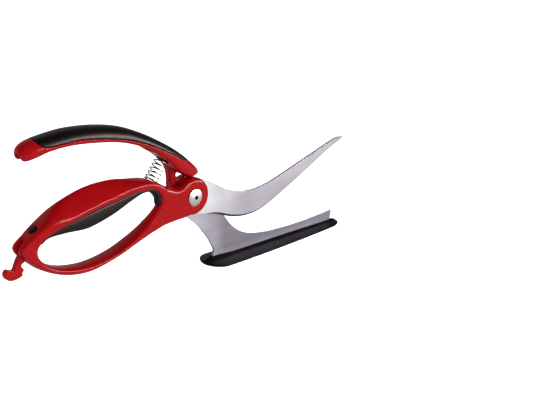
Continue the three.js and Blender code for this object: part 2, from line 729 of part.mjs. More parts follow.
function make_lower_handle() {
  const body = loop_ring().add(front_head());
  const open = cut(body, [
    rod(origin, neck_sweep_radius, -layer_gap, reach),
    plate(grown(upper_blade_outline(), fit_gap), -pocket_face, reach),
    rod(origin, barrel_hole, -reach, reach),
    rod(origin, cap_diameter / 2 + fit_gap, -reach, front_floor),
    post(spring_foot, spring_line, [[-seat_depth, pocket_radius], [reach / 2, pocket_radius]]),
    finger_pad(fit_gap, pad_spare_place),
    hook_slot(),
    rod(hook_pin, hook_pin_diameter / 2 + fit_gap, -hook_pin_reach - fit_gap, reach),
    bumper_hole(),
  ]);
  const peg_radius = anchor_diameter / 2 - fit_gap;
  return join(open, pegs(upper_anchors, peg_radius, -pocket_face - anchor_root, -layer_gap));
}

function rear_head() {
  const rim = arc(origin, head_radius, ...rear_rim_angles);
  return plate([...rim, ...smooth(rear_neck)], -rear_round, rear_head_depth, rear_round)
    .subtract(rod(origin, 2 * reach, -reach, layer_gap));
}

function make_upper_handle() {
  const body = upper_body(0)
    .subtract(cover_region(fit_gap))
    .add(upper_body(grip_thickness + fit_gap))
    .subtract(rod(origin, head_radius + lobe_gap, -reach, layer_gap))
    .add(rear_head().subtract(cover_region(fit_gap)));
  const open = cut(body, [
    plate(grown(lower_blade_outline(), fit_gap), -blade_gap, pocket_face),
    rod(origin, barrel_hole, -reach, reach),
    rod(origin, cap_diameter / 2 + fit_gap, rear_floor, reach),
    post(spring_foot, spring_line, [
      [spring_length / 3, pocket_radius], [spring_length - seat_depth + 2 * fit_gap, pocket_radius],
    ]),
    hook_catch(),
    hollow(),
  ]);
  const peg_radius = anchor_diameter / 2 - fit_gap;
  return join(open, pegs(lower_anchors, peg_radius, layer_gap, pocket_face + anchor_root));
}

function make_upper_grip() {
  return upper_body(0).intersect(cover_region(0)).subtract(upper_body(grip_thickness));
}

// The whole tool, set so that the origin lies on the foot's underside below its middle
const scissors = new THREE.Group();
scissors.position.set(-(foot_heel_x + foot_tip_x) / 2, 0, pivot_height);
scissors.add(
  piece('upper_handle', make_upper_handle(), red),
  piece('upper_grip', make_upper_grip(), black_rubber),
  piece('lower_blade', make_lower_blade(), blade_steel),
  piece('foot', make_foot(), black_nylon),
  piece('pivot_bolt', make_bolt(), bright_steel),
  piece('pivot_nut', make_nut(), bright_steel),
  piece('front_washer', make_washer(front_cap + seat_gap), bright_steel),
  piece('rear_washer', make_washer(rear_floor + seat_gap), bright_steel),
  piece('lower_handle', make_lower_handle(), red),
  piece('finger_grip', finger_pad(), black_rubber),
  piece('upper_blade', make_upper_blade(), blade_steel),
  piece('bumper', make_bumper(), black_rubber),
  piece('hook', make_hook(), red),
  piece('hook_pin', rod(hook_pin, hook_pin_diameter / 2, -hook_pin_reach, hook_pin_reach), bright_steel),
  piece('spring', make_spring(), spring_steel),
);

export default scissors;
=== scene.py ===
# Pizza scissors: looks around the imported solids. Metres, the same frame as the solids.

import json
import math

import bmesh
import bpy
from mathutils import Matrix, Vector
from mathutils.bvhtree import BVHTree


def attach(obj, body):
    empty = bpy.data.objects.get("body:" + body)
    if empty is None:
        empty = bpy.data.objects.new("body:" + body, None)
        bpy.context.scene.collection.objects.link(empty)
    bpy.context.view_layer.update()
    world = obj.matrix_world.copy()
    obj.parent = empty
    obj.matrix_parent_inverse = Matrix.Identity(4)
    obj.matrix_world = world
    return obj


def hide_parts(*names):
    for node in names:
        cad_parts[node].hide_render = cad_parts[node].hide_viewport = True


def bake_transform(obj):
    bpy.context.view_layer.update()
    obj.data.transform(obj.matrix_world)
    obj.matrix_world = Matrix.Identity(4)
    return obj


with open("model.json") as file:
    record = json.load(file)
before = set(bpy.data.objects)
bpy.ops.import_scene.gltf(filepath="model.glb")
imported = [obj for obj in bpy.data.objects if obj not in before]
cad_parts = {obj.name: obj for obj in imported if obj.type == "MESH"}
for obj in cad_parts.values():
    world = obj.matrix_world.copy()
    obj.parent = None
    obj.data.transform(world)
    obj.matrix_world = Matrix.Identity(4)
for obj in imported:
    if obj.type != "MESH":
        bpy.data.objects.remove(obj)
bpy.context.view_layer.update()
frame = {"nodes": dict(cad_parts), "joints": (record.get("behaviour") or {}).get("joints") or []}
nodes = frame["nodes"]
joint_places = {joint["name"]: Vector(joint["pos_m"]) for joint in frame["joints"]}
pivot = joint_places["blade_pivot"]

# Units and places

MM = 0.001


def at(x, y, z):
    """A point given in millimetres from the pivot."""
    return pivot + Vector((x, y, z)) * MM


# Sizes in millimetres, as in the solids, apart from the finger pad's front end, which is fuller here

# Spring: where it stands is counted in stations round the loop handle
WIRE_DIAMETER = 1.0
SPRING_DIAMETER = 10.6
SPRING_LENGTH = 21.5
SPRING_TURNS = 6
SPRING_PLACE = 17.58
SPRING_LINE = Vector((0.617, 0.0, 0.787)).normalized()
SEAT_DEPTH = 1.5
FIT_GAP = 0.3

# Upper handle, from its tip to its front lobe: bottom x, bottom z, top x, top z, half width
UPPER_STATIONS = [
    [-143.2, 59.8, -143.4, 62.8, 3.0],
    [-140.3, 56.4, -141.8, 66.2, 6.4],
    [-133.5, 57.2, -135.0, 69.2, 8.6],
    [-122.0, 59.8, -121.5, 70.8, 9.8],
    [-105.0, 60.4, -103.0, 71.5, 10.4],
    [-85.0, 58.2, -81.0, 69.2, 10.5],
    [-66.0, 54.6, -60.0, 64.1, 10.5],
    [-50.0, 49.0, -41.5, 55.8, 10.3],
    [-36.0, 41.6, -25.0, 46.2, 10.0],
    [-24.0, 32.5, -11.0, 36.6, 9.6],
    [-13.5, 22.0, 0.5, 26.8, 9.0],
    [-4.0, 16.0, 7.3, 19.8, 7.4],
    [1.0, 13.6, 9.8, 16.0, 4.0],
]

# Loop handle, closed round the finger opening from the spring seat backwards:
# inner x, inner z, outer x, outer z, half width, middle y, widest at, inner power, outer power
LOOP_STATIONS = [
    [-43.0, 14.4, -38.0, 20.8, 9.0, 0.0, 0.60, 5.0, 2.2],
    [-56.0, 14.8, -55.0, 24.9, 9.8, 0.0, 0.45, 5.0, 1.4],
    [-72.0, 13.4, -71.0, 27.7, 10.8, 0.0, 0.30, 5.0, 1.2],
    [-92.0, 10.8, -91.0, 27.4, 11.3, 0.0, 0.22, 5.0, 1.2],
    [-111.0, 6.5, -112.0, 22.0, 10.6, 0.0, 0.22, 5.0, 1.4],
    [-126.0, 1.4, -127.5, 11.8, 8.8, 0.0, 0.30, 4.0, 3.0],
    [-132.0, -4.0, -138.5, 4.1, 7.6, 0.0, 0.40, 3.0, 5.0],
    [-133.4, -9.5, -148.6, -4.3, 7.2, 0.0, 0.50, 2.6, 5.0],
    [-131.0, -15.6, -142.0, -14.4, 7.0, 0.0, 0.50, 2.4, 2.6],
    [-123.6, -21.6, -130.0, -24.0, 7.0, 0.0, 0.50, 2.4, 2.4],
    [-110.0, -26.4, -112.0, -32.0, 7.0, 0.0, 0.50, 2.4, 2.4],
    [-92.0, -28.2, -92.0, -34.5, 7.0, 0.0, 0.50, 2.4, 2.4],
    [-72.0, -25.4, -70.0, -29.9, 7.0, -0.5, 0.50, 2.4, 2.4],
    [-55.0, -18.0, -51.0, -23.1, 6.6, -1.8, 0.50, 2.4, 2.4],
    [-42.0, -8.6, -35.0, -17.4, 5.4, -3.6, 0.50, 2.6, 2.6],
    [-33.5, -0.5, -22.0, -9.0, 4.4, -4.6, 0.50, 3.0, 3.0],
    [-31.0, 6.0, -18.0, 5.0, 4.4, -4.6, 0.50, 3.0, 3.0],
    [-35.0, 12.3, -28.0, 15.6, 6.5, -2.5, 0.55, 4.0, 2.6],
]

# Finger pad: its thickness at loop stations from the first one on, and where it starts and ends
PAD_FIRST_STATION = 15
PAD_THICKNESS = [3.0, 3.0, 2.6, 2.3, 6.4, 11.2, 13.0, 7.6, 2.4, 1.0, 0.4]
PAD_START_PLACE = 0.1
PAD_END_PLACE = 9.2
PAD_DEPTH = 1.2
PAD_SIDE_MARGIN = 1.4

# Roundness of the sections: height of the widest place, as a share, and how square each half is
UPPER_ROUNDNESS = (0.3, 3.0, 2.2)
PAD_ROUNDNESS = (0.7, 2.6, 5.0)

# Pivot: the caps of the bolt and of the nut, and where they lie along the axis
CAP_DIAMETER = 12.4
CAP_RIM = 0.5
CAP_DOME = 1.2
SOCKET_DIAMETER = 2.9
SOCKET_DEPTH = 1.7
BOLT_DIAMETER = 4.6
BARREL_DIAMETER = 7.0
FRONT_CAP = -8.9
REAR_CAP = 7.9
BARREL_END = -8.0

# Sizes in millimetres that only the looks have

CAP_EDGE = 0.35
SOCKET_LIP = 0.15
BLADE_EDGE_ROUND = 0.06
SKIN_INSET = 0.05

# Ends of the finger pad: stations over which they round off, and the least share of the full size
PAD_END_ROUND = 0.6
PAD_END_LEAST = 0.1

# Boxes in which a handle's edges are softer: a low and a high corner, from the pivot
STRUT_BOX = ((-25, 0, 12), (-7, 9, 33))
CHIN_BOX = ((-18, -9.5, -19), (-1, 0, -8))
WEB_BOX = ((-27, -9.5, -14), (-9, -3, 12))
LOOP_BOX = ((-122, -12, -40), (-44, 12, 32))

# Fineness of the skins

RING_POINTS = 80
RINGS_PER_STATION = 9
WIRE_POINTS = 14
WIRE_STEPS = 40
TURNED_POINTS = 96
CAP_STEPS = 10
CAP_EDGE_STEPS = 4
BLADE_EDGE_STEPS = 2

# Reach of the modelling tools: millimetres, and the share of a step by which an edge is eased
MERGE_DISTANCE = 0.001
GUIDE_REACH = 0.3
POLE_RADIUS = 0.02
EASE_FACTOR = 0.5

# Angles in degrees: what counts as flat, as an edge to round, and as an edge to shade sharply
FLAT_ANGLE = 0.5
EDGE_ANGLE = 50
BLADE_CREASE = 20
TURNED_CREASE = 40
NO_CREASE = 180

# Modelling tools


def deselect():
    for obj in bpy.context.selected_objects:
        obj.select_set(False)


def choose(obj):
    deselect()
    obj.select_set(True)
    bpy.context.view_layer.objects.active = obj


def open_mesh(obj):
    """Opens a piece's mesh for editing, with all of it selected."""
    choose(obj)
    bpy.ops.object.mode_set(mode="EDIT")
    bpy.ops.mesh.select_all(action="SELECT")


def close_mesh():
    bpy.ops.object.mode_set(mode="OBJECT")


def modify(obj, kind, **values):
    """Adds a modifier with its values and applies it."""
    choose(obj)
    modifier = obj.modifiers.new(kind.lower(), kind)
    for name, value in values.items():
        setattr(modifier, name, value)
    bpy.ops.object.modifier_apply(modifier=modifier.name)


def skin(name, rings, closed=False):
    """A skin drawn from ring to ring by extruding a circle, then closed into a loop or capped."""
    deselect()
    bpy.ops.mesh.primitive_circle_add(vertices=len(rings[0]), radius=MM)
    obj = bpy.context.object
    obj.name = name
    bpy.ops.object.mode_set(mode="EDIT")
    shape = bmesh.from_edit_mesh(obj.data)
    order = shape.verts.layers.int.new("order")
    for i, vertex in enumerate(shape.verts):
        vertex[order] = i
        vertex.co = rings[0][i]
    for ring in rings[1:]:
        bpy.ops.mesh.extrude_region()
        shape = bmesh.from_edit_mesh(obj.data)
        order = shape.verts.layers.int["order"]
        for vertex in shape.verts:
            if vertex.select:
                vertex.co = ring[vertex[order]]
        bmesh.update_edit_mesh(obj.data)
    bpy.ops.mesh.select_all(action="DESELECT")
    bpy.ops.mesh.select_non_manifold()
    if closed:
        bpy.ops.mesh.bridge_edge_loops()
    else:
        bpy.ops.mesh.fill_holes(sides=0)
    bpy.ops.mesh.select_all(action="SELECT")
    bpy.ops.mesh.normals_make_consistent(inside=False)
    close_mesh()
    obj.data.attributes.remove(obj.data.attributes["order"])
    return obj


def merged_copy(name, node):
    """A copy of a solid with its loose triangles joined."""
    obj = bpy.data.objects.new(name, nodes[node].data.copy())
    bpy.context.scene.collection.objects.link(obj)
    open_mesh(obj)
    bpy.ops.mesh.remove_doubles(threshold=MERGE_DISTANCE * MM)
    close_mesh()
    obj.data.materials.clear()
    return obj


def draw_to(obj, guide):
    """Moves what lies near the guide's fine skin onto it, a little inside so that the size stays."""
    tree = BVHTree.FromObject(guide, bpy.context.evaluated_depsgraph_get())
    near = obj.vertex_groups.new(name="near_guide")
    for vertex in obj.data.vertices:
        if tree.find_nearest(vertex.co, GUIDE_REACH * MM)[0] is not None:
            near.add([vertex.index], 1.0, "REPLACE")
    modify(
        obj,
        "SHRINKWRAP",
        target=guide,
        vertex_group=near.name,
        wrap_mode="ABOVE_SURFACE",
        offset=-SKIN_INSET * MM,
    )
    obj.vertex_groups.clear()


def ease(obj, rounds, box=None):
    """Rounds off edges a little, as moulding does, all over or inside a box."""
    if box is None:
        modify(obj, "SMOOTH", factor=EASE_FACTOR, iterations=rounds)
        return
    low = at(*box[0])
    high = at(*box[1])
    inside = obj.vertex_groups.new(name="eased")
    for vertex in obj.data.vertices:
        if all(a < c < b for a, c, b in zip(low, vertex.co, high)):
            inside.add([vertex.index], 1.0, "REPLACE")
    modify(obj, "SMOOTH", factor=EASE_FACTOR, iterations=rounds, vertex_group=inside.name)
    obj.vertex_groups.clear()


def moulded_piece(name, node, face_size, rounds, guide=None):
    """A copy of a solid with a skin of even small faces, drawn to its guide if it has one, and eased."""
    obj = merged_copy(name, node)
    modify(obj, "REMESH", mode="VOXEL", voxel_size=face_size * MM, use_smooth_shade=True)
    if guide:
        draw_to(obj, guide)
    ease(obj, rounds)
    return obj


def finished(obj, body, node, material, crease=NO_CREASE):
    """Gives a piece its shading, material and body, and hides the solid it replaces; edges past the
    crease angle stay sharp.
    """
    choose(obj)
    bpy.ops.object.shade_smooth_by_angle(angle=math.radians(crease))
    obj.data.materials.append(material)
    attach(obj, body)
    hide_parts(node)


# Sections of the handles


def between(stations, place, closed=False):
    """Station values at a place between two stations, on a smooth curve through all of them."""
    count = len(stations)

    def pick(i):
        return stations[i % count if closed else min(max(i, 0), count - 1)]

    i = math.floor(place)
    f = place - i
    values = []
    for a, b, c, d in zip(pick(i - 1), pick(i), pick(i + 1), pick(i + 2)):
        pull_in = (c - a) / 2
        pull_out = (d - b) / 2
        square = 3 * (c - b) - 2 * pull_in - pull_out
        cube = pull_in + pull_out - 2 * (c - b)
        values.append(b + f * (pull_in + f * (square + f * cube)))
    return values


def section(low, high, half_width, middle_y, widest, low_power, high_power):
    """One ring of a handle: a rounded section that stands on the line from low to high."""
    ring = []
    for i in range(RING_POINTS):
        angle = 2 * math.pi * i / RING_POINTS
        power = low_power if math.sin(angle) < 0 else high_power
        side = math.copysign(abs(math.cos(angle)) ** (2 / power), math.cos(angle))
        along = math.copysign(abs(math.sin(angle)) ** (2 / power), math.sin(angle))
        share = widest * (1 + along) if along < 0 else widest + (1 - widest) * along
        x, z = low.lerp(high, share)
        ring.append(at(x, middle_y + half_width * side, z))
    return ring


def upper_skin():
    """The arched handle's fine outer skin, a guide for the plastic and its soft cover."""
    rings = []
    for i in range((len(UPPER_STATIONS) - 1) * RINGS_PER_STATION + 1):
        bx, bz, tx, tz, half_width = between(UPPER_STATIONS, i / RINGS_PER_STATION)
        rings.append(section(Vector((bx, bz)), Vector((tx, tz)), half_width, 0, *UPPER_ROUNDNESS))
    return skin("upper_guide", rings)


def loop_skin():
    """The loop handle's fine outer skin, a guide for its plastic."""
    rings = []
    for i in range(len(LOOP_STATIONS) * RINGS_PER_STATION):
        ix, iz, ox, oz, *rest = between(LOOP_STATIONS, i / RINGS_PER_STATION, closed=True)
        rings.append(section(Vector((ix, iz)), Vector((ox, oz)), *rest))
    return skin("loop_guide", rings, closed=True)


def pad_skin():
    """The finger pad: a strip along the loop's upper inner side, drawn in at its two ends."""
    rings = []
    length = PAD_END_PLACE - PAD_START_PLACE
    count = round(length * RINGS_PER_STATION)
    for i in range(count + 1):
        place = PAD_START_PLACE + length * i / count
        station = between(LOOP_STATIONS, PAD_FIRST_STATION + place, closed=True)
        ix, iz, ox, oz, half_width, middle_y, *_ = station
        inner = Vector((ix, iz))
        out = (Vector((ox, oz)) - inner).normalized()
        thickness = between([[value] for value in PAD_THICKNESS], place)[0]
        from_end = min(place - PAD_START_PLACE, PAD_END_PLACE - place) / PAD_END_ROUND
        drawn_in = math.sqrt(max(1 - max(1 - from_end, 0) ** 2, PAD_END_LEAST ** 2))
        under = inner - out * thickness * drawn_in
        top = inner + out * PAD_DEPTH
        width = (half_width - PAD_SIDE_MARGIN) * drawn_in
        rings.append(section(under, top, width, middle_y, *PAD_ROUNDNESS))
    return skin("finger_pad", rings)


# Shader effects that several materials share

# Scales in repeats per metre, along X, Y and Z where there are three, and strengths of the bumps
FLOW_SCALE = 22.0
MARK_SCALE = 140.0
SMUDGE_SCALE = 45.0
LINE_SCALE = (12.0, 900.0, 2200.0)
BAND_SCALE = (5.0, 60.0, 160.0)
GRAIN_STRENGTH = 0.35
LINE_STRENGTH = 0.4

# Grain size of a material that sets none, in millimetres
USUAL_GRAIN_SIZE = 0.5

# Parts of a noise's values that are spread over the whole effect
NOISE_RANGE = (0.3, 0.7)
MARK_RANGE = (0.35, 0.75)


def new_group(name, inputs, outputs):
    group = bpy.data.node_groups.new(name, "ShaderNodeTree")
    for socket, kind, value in inputs:
        made = group.interface.new_socket(socket, in_out="INPUT", socket_type=kind)
        if value is not None:
            made.default_value = value
    for socket, kind in outputs:
        group.interface.new_socket(socket, in_out="OUTPUT", socket_type=kind)
    start = group.nodes.new("NodeGroupInput")
    end = group.nodes.new("NodeGroupOutput")
    return group, start, end


def object_place(tree):
    """Object coordinates, which stay with the piece."""
    return tree.nodes.new("ShaderNodeTexCoord").outputs["Object"]


def mapped(tree, vector, scale, location=(0, 0, 0)):
    """Coordinates that are scaled and moved."""
    node = tree.nodes.new("ShaderNodeMapping")
    node.inputs["Location"].default_value = location
    node.inputs["Scale"].default_value = scale
    tree.links.new(vector, node.inputs["Vector"])
    return node.outputs["Vector"]


def noise(tree, vector, scale=1.0, detail=2.0, rough=0.5):
    node = tree.nodes.new("ShaderNodeTexNoise")
    node.inputs["Scale"].default_value = scale
    node.inputs["Detail"].default_value = detail
    node.inputs["Roughness"].default_value = rough
    tree.links.new(vector, node.inputs["Vector"])
    return node


def spread(tree, value, low, high, source=(0, 1)):
    """A value mapped from its source range to the range from low to high."""
    node = tree.nodes.new("ShaderNodeMapRange")
    node.inputs["From Min"].default_value = source[0]
    node.inputs["From Max"].default_value = source[1]
    node.inputs["To Min"].default_value = low
    node.inputs["To Max"].default_value = high
    tree.links.new(value, node.inputs["Value"])
    return node.outputs["Result"]


def shades(tree, value, first, second):
    """A colour between two, chosen by a value from 0 to 1."""
    node = tree.nodes.new("ShaderNodeMix")
    node.data_type = "RGBA"
    node.inputs["A"].default_value = (*first, 1)
    node.inputs["B"].default_value = (*second, 1)
    tree.links.new(value, node.inputs["Factor"])
    return node.outputs["Result"]


def larger(tree, first, second):
    """The larger one of two values."""
    node = tree.nodes.new("ShaderNodeMath")
    node.operation = "MAXIMUM"
    tree.links.new(first, node.inputs[0])
    tree.links.new(second, node.inputs[1])
    return node.outputs[0]


def moulding_group():
    """Grain, flow marks and handling marks of a moulded piece."""
    group, start, end = new_group(
        "moulding",
        [("Vector", "NodeSocketVector", None), ("Grain size", "NodeSocketFloat", USUAL_GRAIN_SIZE * MM)],
        [("Grain", "NodeSocketFloat"), ("Flow", "NodeSocketFloat"), ("Marks", "NodeSocketFloat")],
    )
    vector = start.outputs["Vector"]
    scale = group.nodes.new("ShaderNodeMath")
    scale.operation = "DIVIDE"
    scale.inputs[0].default_value = 1.0
    group.links.new(start.outputs["Grain size"], scale.inputs[1])
    grain = noise(group, vector, detail=3.0)
    group.links.new(scale.outputs[0], grain.inputs["Scale"])
    group.links.new(grain.outputs["Fac"], end.inputs["Grain"])
    flow = noise(group, vector, FLOW_SCALE, detail=3.0)
    group.links.new(spread(group, flow.outputs["Fac"], 0, 1, NOISE_RANGE), end.inputs["Flow"])
    marks = noise(group, vector, MARK_SCALE, detail=6.0, rough=0.65)
    group.links.new(spread(group, marks.outputs["Fac"], 0, 1, MARK_RANGE), end.inputs["Marks"])
    return group


def brushing_group():
    """Fine lines along X, as a brushed or drawn metal has."""
    group, start, end = new_group(
        "brushing",
        [("Vector", "NodeSocketVector", None)],
        [("Lines", "NodeSocketFloat"), ("Bands", "NodeSocketFloat"), ("Smudges", "NodeSocketFloat")],
    )
    vector = start.outputs["Vector"]
    lines = noise(group, mapped(group, vector, LINE_SCALE), detail=4.0, rough=0.6)
    group.links.new(lines.outputs["Fac"], end.inputs["Lines"])
    bands = noise(group, mapped(group, vector, BAND_SCALE), detail=3.0)
    group.links.new(spread(group, bands.outputs["Fac"], 0, 1, NOISE_RANGE), end.inputs["Bands"])
    smudges = noise(group, vector, SMUDGE_SCALE, detail=4.0)
    group.links.new(spread(group, smudges.outputs["Fac"], 0, 1, NOISE_RANGE), end.inputs["Smudges"])
    return group


MOULDING = moulding_group()
BRUSHING = brushing_group()

# Finishes


def new_material(name, group):
    material = bpy.data.materials.new(name)
    material.use_nodes = True
    tree = material.node_tree
    shader = tree.nodes["Principled BSDF"]
    effect = tree.nodes.new("ShaderNodeGroup")
    effect.node_tree = group
    tree.links.new(object_place(tree), effect.inputs["Vector"])
    return material, tree, shader, effect


def two_shades(tree, shader, mask, dark, light):
    tree.links.new(shades(tree, mask, dark, light), shader.inputs["Base Color"])


def two_gloss_levels(tree, shader, mask, smooth, rough):
    tree.links.new(spread(tree, mask, smooth, rough), shader.inputs["Roughness"])


def raise_surface(tree, shader, height, strength, distance):
    bump = tree.nodes.new("ShaderNodeBump")
    bump.inputs["Strength"].default_value = strength
    bump.inputs["Distance"].default_value = distance
    tree.links.new(height, bump.inputs["Height"])
    tree.links.new(bump.outputs["Normal"], shader.inputs["Normal"])


def moulded(name, dark, light, smooth, rough, specular, grain_size, grain_depth):
    """A moulded plastic or rubber: two shades, two gloss levels and a fine grain."""
    material, tree, shader, effect = new_material(name, MOULDING)
    shader.inputs["Specular IOR Level"].default_value = specular
    effect.inputs["Grain size"].default_value = grain_size * MM
    two_shades(tree, shader, effect.outputs["Flow"], dark, light)
    two_gloss_levels(tree, shader, effect.outputs["Marks"], smooth, rough)
    raise_surface(tree, shader, effect.outputs["Grain"], GRAIN_STRENGTH, grain_depth * MM)
    return material, shader


def brushed(name, dark, light, smooth, rough, line_depth):
    """A metal with fine lines along X."""
    material, tree, shader, effect = new_material(name, BRUSHING)
    shader.inputs["Metallic"].default_value = 1.0
    two_shades(tree, shader, effect.outputs["Bands"], dark, light)
    two_gloss_levels(tree, shader, effect.outputs["Smudges"], smooth, rough)
    raise_surface(tree, shader, effect.outputs["Lines"], LINE_STRENGTH, line_depth * MM)
    return material, tree, shader


def polished(name, dark, light, smooth, rough):
    """A metal with no lines, only faint marks of handling."""
    material, tree, shader, effect = new_material(name, MOULDING)
    shader.inputs["Metallic"].default_value = 1.0
    two_shades(tree, shader, effect.outputs["Flow"], dark, light)
    two_gloss_levels(tree, shader, effect.outputs["Marks"], smooth, rough)
    return material, tree, shader


def darkened(tree, shader, mask, colour, blend="MIX"):
    """Mixes a dark colour into the base colour, or multiplies by it, where the mask is 1; here it paints
    shade and dark reflections into steel.
    """
    base = shader.inputs["Base Color"]
    node = tree.nodes.new("ShaderNodeMix")
    node.data_type = "RGBA"
    node.blend_type = blend
    tree.links.new(mask, node.inputs["Factor"])
    tree.links.new(base.links[0].from_socket, node.inputs["A"])
    node.inputs["B"].default_value = (*colour, 1)
    tree.links.new(node.outputs["Result"], base)


def paint_reflection_along_blade(tree, shader, first, last, colour):
    """Paints a darker reflection onto a blade, from one place along X to another, both in millimetres
    from the pivot.
    """
    along = tree.nodes.new("ShaderNodeSeparateXYZ")
    tree.links.new(object_place(tree), along.inputs["Vector"])
    stretch = (pivot.x + first * MM, pivot.x + last * MM)
    darkened(tree, shader, spread(tree, along.outputs["X"], 0, 1, stretch), colour, "MULTIPLY")


def inside_socket(tree):
    """A mask that is 1 within the key socket's radius round the pivot's axis, where the socket's shade
    is painted.
    """
    across = mapped(tree, object_place(tree), scale=(1, 0, 1), location=(-pivot.x, 0, -pivot.z))
    radius = tree.nodes.new("ShaderNodeVectorMath")
    radius.operation = "LENGTH"
    tree.links.new(across, radius.inputs[0])
    wall = SOCKET_DIAMETER / 2 * MM
    return spread(tree, radius.outputs["Value"], 1, 0, (wall, wall + SOCKET_LIP * MM))


# Name of the mesh attribute that is 1 on a blade's ground faces
GROUND = "ground"


def ground_faces(tree):
    """A mask that is 1 on a blade's ground faces."""
    mask = tree.nodes.new("ShaderNodeAttribute")
    mask.attribute_name = GROUND
    return mask.outputs["Fac"]


# Materials, with grain and line sizes in millimetres

GROUND_PAINTED_REFLECTION = (0.40, 0.39, 0.42)
SOCKET_PAINTED_SHADE = (0.006, 0.006, 0.007)
RUBBER_PAINTED_REFLECTION_TINT = (1.0, 0.82, 0.82)

# Both handles and the hook
RED, _ = moulded(
    "red_plastic",
    dark=(0.225, 0.0018, 0.003),
    light=(0.25, 0.002, 0.0034),
    smooth=0.16,
    rough=0.22,
    specular=0.17,
    grain_size=0.5,
    grain_depth=0.003,
)

# Soft cover, finger pad and stop
RUBBER, rubber_shader = moulded(
    "soft_grip",
    dark=(0.0016, 0.0006, 0.0006),
    light=(0.0028, 0.0011, 0.0011),
    smooth=0.38,
    rough=0.45,
    specular=0.36,
    grain_size=0.25,
    grain_depth=0.02,
)
# Warm tint on the rubber's reflections: painted reflection of red bounce light
rubber_shader.inputs["Specular Tint"].default_value = (*RUBBER_PAINTED_REFLECTION_TINT, 1)

# Foot
NYLON, _ = moulded(
    "black_nylon",
    dark=(0.002, 0.0018, 0.0024),
    light=(0.004, 0.0036, 0.0045),
    smooth=0.36,
    rough=0.46,
    specular=0.1,
    grain_size=0.4,
    grain_depth=0.03,
)

# Upper blade, with a painted reflection that darkens along it
STEEL, steel_tree, steel_shader = brushed(
    "blade_steel",
    dark=(0.84, 0.83, 0.86),
    light=(0.99, 0.98, 1.0),
    smooth=0.28,
    rough=0.36,
    line_depth=0.003,
)
# Painted reflection: the steel darkens along X from 20 to 50 mm past the pivot
paint_reflection_along_blade(steel_tree, steel_shader, first=20, last=50, colour=(0.66, 0.62, 0.67))
# Ground faces darker: their own ground finish, with a painted dark reflection
darkened(steel_tree, steel_shader, ground_faces(steel_tree), GROUND_PAINTED_REFLECTION)

# Lower blade: a darker copy of the blade steel, painted shade
SHADE_PAINTED_STEEL, shaded_tree, shaded_shader = brushed(
    "shade_painted_steel",
    dark=(0.60, 0.58, 0.65),
    light=(0.76, 0.73, 0.81),
    smooth=0.28,
    rough=0.36,
    line_depth=0.003,
)
# Painted reflection: the steel darkens along X from 10 to 36 mm past the pivot
paint_reflection_along_blade(shaded_tree, shaded_shader, first=10, last=36, colour=(0.52, 0.49, 0.52))
# Ground faces darker: their own ground finish, with a painted dark reflection
darkened(shaded_tree, shaded_shader, ground_faces(shaded_tree), GROUND_PAINTED_REFLECTION)

# Nut, washers and the hook's pin
BRIGHT, *_ = polished(
    "bright_steel",
    dark=(0.82, 0.82, 0.83),
    light=(0.90, 0.90, 0.91),
    smooth=0.16,
    rough=0.26,
)

# Bolt, with painted shade inside its socket
BOLT, bolt_tree, bolt_shader = polished(
    "bolt_steel",
    dark=(0.84, 0.84, 0.85),
    light=(0.92, 0.92, 0.93),
    smooth=0.24,
    rough=0.32,
)
darkened(bolt_tree, bolt_shader, inside_socket(bolt_tree), SOCKET_PAINTED_SHADE)

# Spring wire
WIRE, *_ = polished(
    "spring_steel",
    dark=(0.45, 0.43, 0.43),
    light=(0.55, 0.53, 0.53),
    smooth=0.2,
    rough=0.3,
)

# Arched handle and its soft cover

upper_guide = upper_skin()

upper_handle = moulded_piece(
    "upper_handle_moulding", "upper_handle", face_size=0.42, rounds=7, guide=upper_guide
)
ease(upper_handle, rounds=120, box=STRUT_BOX)
finished(upper_handle, "rear_half", "upper_handle", RED)

upper_grip = moulded_piece(
    "upper_grip_rubber", "upper_grip", face_size=0.36, rounds=9, guide=upper_guide
)
finished(upper_grip, "rear_half", "upper_grip", RUBBER)

bpy.data.objects.remove(upper_guide)

# Loop handle and its finger pad

loop_guide = loop_skin()

lower_handle = moulded_piece(
    "loop_handle_moulding", "lower_handle", face_size=0.45, rounds=18, guide=loop_guide
)
ease(lower_handle, rounds=21, box=LOOP_BOX)
ease(lower_handle, rounds=60, box=WEB_BOX)
ease(lower_handle, rounds=45, box=CHIN_BOX)
finished(lower_handle, "front_half", "lower_handle", RED)

bpy.data.objects.remove(loop_guide)

finished(pad_skin(), "front_half", "finger_grip", RUBBER)

# Hook, rubber stop and foot

hook = moulded_piece("hook_moulding", "hook", face_size=0.25, rounds=4)
finished(hook, "latch", "hook", RED)

bumper = moulded_piece("rubber_stop", "bumper", face_size=0.2, rounds=6)
finished(bumper, "front_half", "bumper", RUBBER)

foot = moulded_piece("foot_moulding", "foot", face_size=0.4, rounds=3)
finished(foot, "rear_half", "foot", NYLON)

# Spring

seat_x, seat_z = between(LOOP_STATIONS, SPRING_PLACE, closed=True)[2:4]
SPRING_FOOT = Vector((seat_x, 0, seat_z)) - SPRING_LINE * (SEAT_DEPTH - FIT_GAP)


def coil(name, turns, low, rise):
    """Part of the spring on its own axis: a wire section wound up by a rise per turn."""
    deselect()
    middle = (SPRING_DIAMETER - WIRE_DIAMETER) / 2
    bpy.ops.mesh.primitive_circle_add(
        vertices=WIRE_POINTS,
        radius=WIRE_DIAMETER / 2 * MM,
        location=(middle * MM, 0, low * MM),
        rotation=(math.pi / 2, 0, 0),
    )
    obj = bpy.context.object
    obj.name = name
    bpy.ops.object.transform_apply()
    modify(
        obj,
        "SCREW",
        iterations=turns,
        screw_offset=rise * MM,
        steps=WIRE_STEPS,
        render_steps=WIRE_STEPS,
    )
    return obj


